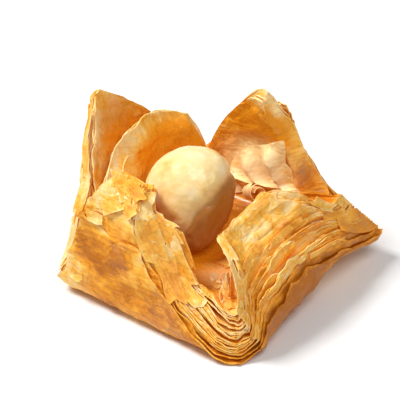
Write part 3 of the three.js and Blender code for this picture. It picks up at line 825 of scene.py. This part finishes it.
# %% Flakes across the cut edges
# A group is (side, which of its edges, curl, steps, seed, flakes), and a flake in it is
# (distance from the middle, depth, size, turn, tint).
for side, edge, curl, steps, seed, rows in [
    (front, 1, 0.3, 8, 11, [
        (35.0, 0.40, (5.6, 2.4), 8, pale), (31.0, 0.70, (6.0, 2.0), -8, gold),
        (30.0, 0.30, (6.2, 2.2), 6, gold), (26.6, 0.66, (6.0, 2.0), -6, pale),
        (25.2, 0.26, (5.6, 1.9), 10, gold), (23.0, 0.55, (5.0, 1.8), -8, pale),
        (32.8, 0.95, (4.0, 1.4), 5, pale), (28.2, 0.98, (4.4, 1.2), 5, burnt),
    ]),
    (right, 0, 0.5, 8, 41, [
        (30.6, 0.75, (3.4, 2.2), 0, pale), (27.6, 0.90, (4.0, 1.8), 15, pale),
        (25.0, 0.75, (4.0, 2.0), -12, gold), (22.4, 0.92, (3.6, 1.8), 10, pale),
        (20.4, 0.75, (3.0, 1.6), -15, pale),
    ]),
    (right, 1, 0.2, 12, 61, [
        (19.4, 0.34, (4.6, 1.6), 8, burnt), (21.8, 0.58, (4.4, 1.5), -8, burnt),
        (18.8, 0.80, (3.6, 1.4), 10, gold), (25.0, 0.82, (4.2, 1.3), 4, pale),
    ]),
    (left, 1, 0.25, 8, 161, [
        (36.0, 0.26, (5.0, 1.6), 6, pale), (32.0, 0.28, (5.4, 1.8), -8, gold),
        (28.0, 0.22, (5.6, 1.8), 8, pale), (23.6, 0.26, (5.0, 1.8), -6, gold),
        (20.0, 0.22, (4.0, 1.6), 10, pale), (22.0, 0.04, (7.0, 1.6), 0, glassy),
    ]),
]:
    for row, (distance, depth, size, turn, tint) in enumerate(rows):
        flake_on_edge(side, edge, distance, depth, size, turn, curl, steps, seed + row, **tint)
print(len(flakes), "flakes on the cut edges")

# %% Flakes on the outer faces of the front and right flaps
# A group is (steps, seed, flakes), and a flake in it is (centre, depth, size, turn, curl, tint).
for steps, seed, rows in [
    (8, 71, [
        ((-11.6, -20.5), 0.02, (2.4, 1.5), 20, 0.7, pale),
        ((-2.4, -33.4), LEDGE, (4.6, 2.4), -28, 0.3, pale),
        ((1.5, -36.6), LEDGE, (3.0, 2.4), 40, 0.4, gold),
        ((-1.8, -37.4), LEDGE, (2.6, 2.2), 165, 0.5, pale),
        ((-5.6, -30.4), LEDGE, (3.0, 1.6), 5, 0.4, pale),
        ((1.0, -33.6), LEDGE, (2.6, 1.8), -40, 0.4, gold),
        ((-0.6, -35.4), LEDGE, (2.2, 1.6), 60, 0.5, pale),
    ]),
    (10, 101, [
        ((27.6, -4.0), 0.57, (1.2, 7.0), -4, 0.4, gold),
        ((26.2, 3.0), 0.50, (1.2, 8.0), 5, 0.4, pale),
        ((25.0, -5.0), 0.42, (1.1, 6.5), -8, 0.5, gold),
        ((24.0, 6.0), 0.36, (1.1, 7.5), 6, 0.5, burnt),
        ((22.6, -2.0), 0.24, (1.0, 7.5), -4, 0.5, pale),
        ((21.6, 6.5), 0.16, (1.0, 7.0), 5, 0.5, gold),
        ((31.0, 3.0), 0.62, (1.6, 6.0), 6, 0.4, pale),
    ]),
]:
    for row, (centre, depth, size, turn, curl, tint) in enumerate(rows):
        flake_on_face(centre, depth, size, turn, False, curl, steps, seed + row, **tint)
print(len(flakes), "flakes with those on the outer faces")

# %% Scraps full of syrup with a painted sheen, curls and crumbs in the nest
for number, (centre, size, turn, curl, pleat, tint) in enumerate([
    ((0.6, 22.9), (13.6, 9.6), 29, 0.3, 0.8, wetted),
    ((-3.4, 20.8), (3.6, 7.0), 24, 0.6, 0.4, glassy),
    ((-22.0, 3.5), (3.2, 3.6), 40, 0.4, 0, glassy),
    ((10.0, 8.5), (3.0, 2.2), 20, 0.6, 0, gold),
]):
    flake_on_face(centre, 1.0, size, turn, True, curl, 24, 131 + number, pleat, **tint)
curl_of_dough((1.2, 9.2, 9.8), 1.5, 3.2, (0.72, -0.42, 0.5), 1.3, 301, **glassy)
curl_of_dough((3.9, 8.9, 8.6), 1.0, 2.8, (0.9, -0.2, 0.4), 1.1, 311, **pale)
for number, (centre, size, turn, curl, tint) in enumerate([
    ((8.0, -8.4), (1.6, 2.6), 30, 1.8, glassy), ((9.8, -9.6), (2.0, 3.2), 42, 2.4, pale),
    ((10.8, -7.4), (2.2, 3.0), 25, 2.2, glassy), ((11.6, -11.2), (2.2, 3.4), 48, 2.6, pale),
    ((12.6, -9.4), (2.0, 3.0), 35, 2.4, pale), ((9.4, -5.6), (2.0, 2.6), 20, 1.8, gold),
    ((12.4, -13.0), (2.0, 3.0), 55, 2.2, gold), ((10.2, -12.4), (1.8, 2.8), 40, 1.8, pale),
]):
    flake_on_face(centre, 1.0, size, turn, True, curl, 10, 231 + number, **tint)
CRUMBS = 16
CRUMBS_FROM, CRUMBS_TO = (4.5, -14.0), (12.5, -2.5)
SMALLEST_CRUMB, LARGEST_CRUMB = (1.6, 1.2), (3.0, 2.2)
for number in range(CRUMBS):
    centre = rng.uniform(CRUMBS_FROM, CRUMBS_TO)
    size = rng.uniform(SMALLEST_CRUMB, LARGEST_CRUMB)
    tint = (pale, gold, glassy, pale)[number % 4]
    curl = rng.uniform(0.4, 1.4)
    flake_on_face(centre, 1.0, size, rng.uniform(0, 360), True, curl, seed=201 + number, **tint)
print(len(flakes), "flakes in all")

# %% Join the flakes
bpy.ops.object.select_all(action="DESELECT")
for flake in flakes:
    flake.select_set(True)
bpy.context.view_layer.objects.active = flakes[0]
bpy.ops.object.join()
loose = bpy.context.object
loose.name = loose.data.name = "filo_flakes"
bpy.ops.object.transform_apply()
bpy.ops.object.shade_smooth_by_angle(angle=SMOOTH_BELOW)
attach(loose, "root")
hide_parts("filo_pastry")
pieces.append(loose)
print(len(flakes), "flakes,", len(loose.data.polygons), "faces")

# %% [markdown]
# ## Materials
# Baked filo is a translucent, brittle sheet: pale straw where it stayed thin and dry, golden where
# it browned, amber where syrup sank in, and in the hollows the amber is also painted glow. Syrup
# lies on it and on the nut as a thin uneven film.
# The film is built once as a node group, and each material has it at its own size.
#
# Sheets could be glass-like, with light traced through them, but nineteen of them would be slow
# and grainy. So the filo is opaque with a little light under its surface, and a weak warm glow of
# its own stands in for the light that comes through thin dough into the gaps between the sheets.


# %% Node helpers
def add(tree, kind, inputs=(), **settings):
    """Adds a shader node, sets it up, and links or sets its inputs."""
    node = tree.nodes.new("ShaderNode" + kind)
    for name, value in settings.items():
        setattr(node, name, value)
    for key, value in dict(inputs).items():
        if isinstance(value, bpy.types.NodeSocket):
            tree.links.new(value, node.inputs[key])
        else:
            node.inputs[key].default_value = value
    return node


def ramp(tree, value, stops):
    """A colour ramp with the given (position, colour) stops."""
    node = add(tree, "ValToRGB", {"Fac": value})
    elements = node.color_ramp.elements
    while len(elements) < len(stops):
        elements.new(0.5)
    for element, (at, colour) in zip(elements, stops):
        element.position = at
        element.color = (*colour, 1)
    return node.outputs["Color"]


def maths(tree, operation, a, b):
    """One sum, product or the like of two values."""
    return add(tree, "Math", {0: a, 1: b}, operation=operation).outputs[0]


MIX_FROM, MIX_TO = 6, 7  # a Mix node's two colour inputs, which share their names with others


def blend_in(colour, share, tint):
    """Mixes a tint into the colour by a share that changes over the surface."""
    inputs = {"Factor": share, MIX_FROM: colour, MIX_TO: (*tint, 1)}
    return add(colour.node.id_data, "Mix", inputs, data_type="RGBA").outputs[2]


def weighted(terms, start=0.0):
    """A sum of fields, each times its weight."""
    total = start
    tree = terms[0][0].node.id_data
    for field, weight in terms:
        node = add(tree, "Math", {0: field, 1: weight, 2: total}, operation="MULTIPLY_ADD")
        total = node.outputs[0]
    return total


# %% Syrup film group
film = bpy.data.node_groups.new("SyrupFilm", "ShaderNodeTree")
for name, kind in (("Vector", "NodeSocketVector"), ("Size", "NodeSocketFloat")):
    film.interface.new_socket(name, in_out="INPUT", socket_type=kind)
film.interface.new_socket("Film", in_out="OUTPUT", socket_type="NodeSocketFloat")
given = film.nodes.new("NodeGroupInput")
given_out = film.nodes.new("NodeGroupOutput")
patches = add(film, "TexNoise", {
    "Vector": given.outputs["Vector"], "Scale": given.outputs["Size"],
    "Detail": 3.0, "Roughness": 0.55,
})
wet = add(film, "MapRange", {
    "Value": patches.outputs["Fac"], "From Min": 0.42, "From Max": 0.66, "To Max": 0.8,
}, interpolation_type="SMOOTHSTEP")
film.links.new(wet.outputs[0], given_out.inputs["Film"])
print(film.name, "has", len(film.nodes), "nodes")

# %% [markdown]
# ### Filo
# Its tone is one number, from pale to burnt, which a ramp turns into a colour. Noise on the flat
# sheet gives it streaks and creases, and a cell pattern with warped borders gives small bits that
# flaked off and show the paler or darker layer below. The masks on the points then push it up or
# down, and one of them is painted light and shade, which makes crests of crinkles paler and their
# hollows darker. Amber is mixed in last, partly the syrup's colour and partly painted glow, and so
# is a pale painted sheen where syrup stands, where the dough is also smoother and shines more.

# %% Fields over the filo
filo = bpy.data.materials.new("baked_filo")
filo.use_nodes = True
tree = filo.node_tree
shader = tree.nodes["Principled BSDF"]
place = add(tree, "TexCoord").outputs["Object"]
uv_flat = add(tree, "UVMap", uv_map="flat").outputs["UV"]
masks = {
    name: add(tree, "Attribute", attribute_name=name).outputs["Fac"]
    for name in ("edge", "brown", "pale", "amber", "raised", "wet")
}
broad = add(tree, "TexNoise", {"Vector": place, "Scale": 190.0, "Detail": 4.0}).outputs["Fac"]
fine = add(tree, "TexNoise", {
    "Vector": uv_flat, "Scale": 34.0, "Detail": 7.0, "Roughness": 0.68,
})
creases = add(tree, "TexNoise", {
    "Vector": uv_flat, "Scale": 22.0, "Detail": 4.0, "Lacunarity": 2.3,
}, noise_type="RIDGED_MULTIFRACTAL").outputs["Fac"]
drawn = add(tree, "Mapping", {
    "Vector": uv_flat, "Scale": (9.0, 70.0, 1.0), "Rotation": (0, 0, 0.5),
})
streaks = add(tree, "TexNoise", {"Vector": drawn.outputs[0], "Scale": 1.0, "Detail": 5.0})
warp = add(tree, "VectorMath", {
    0: fine.outputs["Color"], 1: (0.085, 0.085, 0.0), 2: uv_flat,
}, operation="MULTIPLY_ADD")
torn_bits = add(tree, "TexVoronoi", {"Vector": warp.outputs[0], "Scale": 11.0})
bits = add(tree, "SeparateColor", {"Color": torn_bits.outputs["Color"]}).outputs[0]
print("masks:", list(masks))
# %% Colour, gloss and relief of the filo
# The tone carries painted light and shade: crests of crinkles paler, hollows darker.
baked = weighted([
    (broad, 1.0), (fine.outputs["Fac"], 0.8), (streaks.outputs["Fac"], 0.5), (creases, -0.12),
    (masks["brown"], 0.34), (masks["pale"], -0.36), (masks["edge"], -0.16),
    (masks["raised"], -0.26), (bits, 0.22),
], start=-0.61)
colour = ramp(tree, baked, [
    (0.06, (0.99, 0.72, 0.33)),
    (0.28, (0.97, 0.56, 0.11)),
    (0.46, (0.93, 0.42, 0.04)),
    (0.64, (0.76, 0.28, 0.016)),
    (0.90, (0.46, 0.14, 0.006)),
])
# Amber, partly the syrup's colour and partly painted glow for light that comes through thin dough.
amber_glow = add(tree, "MapRange", {
    "Value": weighted([(masks["amber"], 1.0), (broad, 0.6), (fine.outputs["Fac"], 0.3)], -0.45),
    "From Min": 0.15, "From Max": 0.7, "To Max": 0.9,
}).outputs[0]
colour = blend_in(colour, amber_glow, (0.86, 0.31, 0.004))
# A pale cream painted sheen where syrup stands, on top of the real gloss of the coat.
painted_sheen = weighted([(masks["wet"], 1.0), (fine.outputs["Fac"], 0.5)], -0.3)
colour = blend_in(colour, painted_sheen, (1.0, 0.76, 0.42))
syrup = add(tree, "Group", {"Vector": place, "Size": 180.0}, node_tree=film)
blisters = add(tree, "TexNoise", {"Vector": uv_flat, "Scale": 60.0, "Detail": 4.0})
relief = weighted([
    (blisters.outputs["Fac"], 0.8), (streaks.outputs["Fac"], 0.8), (creases, 0.5), (bits, -0.5),
])
smoothed = weighted([(masks["wet"], -0.8)], 1.0)
relief = maths(tree, "MULTIPLY", relief, smoothed)
bump = add(tree, "Bump", {"Strength": 0.8, "Distance": 0.0004, "Height": relief})
tree.links.new(colour, shader.inputs["Base Color"])
coat = weighted([(syrup.outputs["Film"], 0.6), (masks["wet"], 0.5)], 0.0)
tree.links.new(coat, shader.inputs["Coat Weight"])
tree.links.new(bump.outputs["Normal"], shader.inputs["Normal"])
shader.inputs["Roughness"].default_value = 0.5
shader.inputs["Specular IOR Level"].default_value = 0.2
shader.inputs["Emission Color"].default_value = (0.75, 0.18, 0.004, 1)
shader.inputs["Emission Strength"].default_value = 0.06
shader.inputs["Coat Roughness"].default_value = 0.16
shader.inputs["Subsurface Weight"].default_value = 0.12
shader.inputs["Subsurface Radius"].default_value = (1.0, 0.6, 0.3)
shader.inputs["Subsurface Scale"].default_value = 0.0004
for packet in pieces:
    packet.data.materials.clear()
    packet.data.materials.append(filo)
print(filo.name, "has", len(tree.nodes), "nodes")

# %% [markdown]
# ### Hazelnut
# A peeled and toasted kernel is cream with tan clouds and fine specks. Brown painted shade lies
# on the side beyond the furrow and towards the pointed end. Smooth as it is, it could do with one
# colour, but the clouds are what tells a nut from a ball of dough. They are plain noise in space,
# as nothing on a nut follows a seam or a sheet.

# %% Nut material
kernel = bpy.data.materials.new("peeled_hazelnut")
kernel.use_nodes = True
tree = kernel.node_tree
shader = tree.nodes["Principled BSDF"]
place = add(tree, "TexCoord").outputs["Object"]
broad = add(tree, "TexNoise", {"Vector": place, "Scale": 140.0, "Detail": 4.0}).outputs["Fac"]
specks = add(tree, "TexNoise", {"Vector": place, "Scale": 900.0, "Detail": 5.0}).outputs["Fac"]
clouds = maths(tree, "MULTIPLY", broad, 0.75)
tone = maths(tree, "ADD", clouds, maths(tree, "MULTIPLY", specks, 0.25))
colour = ramp(tree, tone, [
    (0.34, (0.97, 0.79, 0.48)),
    (0.52, (0.92, 0.65, 0.26)),
    (0.68, (0.72, 0.36, 0.055)),
])
# Painted shade on the nut: its brown side and tip, read from the points.
shade_share = add(tree, "Attribute", attribute_name="nut_shade").outputs["Fac"]
shade_share = weighted([(shade_share, 0.95), (broad, 0.3)], -0.15)
colour = blend_in(colour, shade_share, (0.42, 0.14, 0.01))
syrup = add(tree, "Group", {"Vector": place, "Size": 120.0}, node_tree=film)
bump = add(tree, "Bump", {"Strength": 0.5, "Distance": 0.0003, "Height": specks})
tree.links.new(colour, shader.inputs["Base Color"])
tree.links.new(syrup.outputs["Film"], shader.inputs["Coat Weight"])
tree.links.new(bump.outputs["Normal"], shader.inputs["Normal"])
shader.inputs["Roughness"].default_value = 0.45
shader.inputs["Specular IOR Level"].default_value = 0.3
shader.inputs["Coat Roughness"].default_value = 0.15
shader.inputs["Subsurface Weight"].default_value = 0.15
shader.inputs["Subsurface Radius"].default_value = (1.0, 0.5, 0.2)
shader.inputs["Subsurface Scale"].default_value = 0.001
nut.data.materials.clear()
nut.data.materials.append(kernel)
print(kernel.name, "has", len(tree.nodes), "nodes")

# %% [markdown]
# ## Floor and light
# The nest stands on a plain white surface, as in a bright kitchen. A small hard lamp would cut
# black lines between the sheets, and an even sky would hide them. So a soft box high on the left
# gives the sheets their light and shade, a wider and weaker one above on the right opens up the
# shaded faces, and a white world fills the rest.

# %% Floor and lights
bpy.ops.object.select_all(action="DESELECT")
bpy.ops.mesh.primitive_plane_add(size=3)
floor = bpy.context.object
floor.name = "floor"
white = bpy.data.materials.new("white_surface")
white.use_nodes = True
surface = white.node_tree.nodes["Principled BSDF"]
surface.inputs["Base Color"].default_value = (0.86, 0.86, 0.855, 1)
surface.inputs["Roughness"].default_value = 0.6
floor.data.materials.append(white)

world = bpy.data.worlds.new("studio")
bpy.context.scene.world = world
world.use_nodes = True
sky = world.node_tree.nodes["Background"]
sky.inputs["Color"].default_value = (1, 1, 1, 1)
sky.inputs["Strength"].default_value = 0.26


def soft_box(name, at, size, energy):
    """A square area lamp that looks at the middle of the nest's underside."""
    lamp = bpy.data.objects.new(name, bpy.data.lights.new(name, "AREA"))
    lamp.data.size = size
    lamp.data.energy = energy
    lamp.location = at
    lamp.rotation_euler = Vector(at).to_track_quat("Z", "Y").to_euler()
    bpy.context.scene.collection.objects.link(lamp)


soft_box("key", at=(-0.27, -0.09, 0.41), size=0.16, energy=2.6)
soft_box("fill", at=(0.19, -0.05, 0.44), size=0.24, energy=0.85)
bpy.context.scene.view_settings.view_transform = "Standard"
print("lamps:", [lamp.name for lamp in bpy.data.lights])
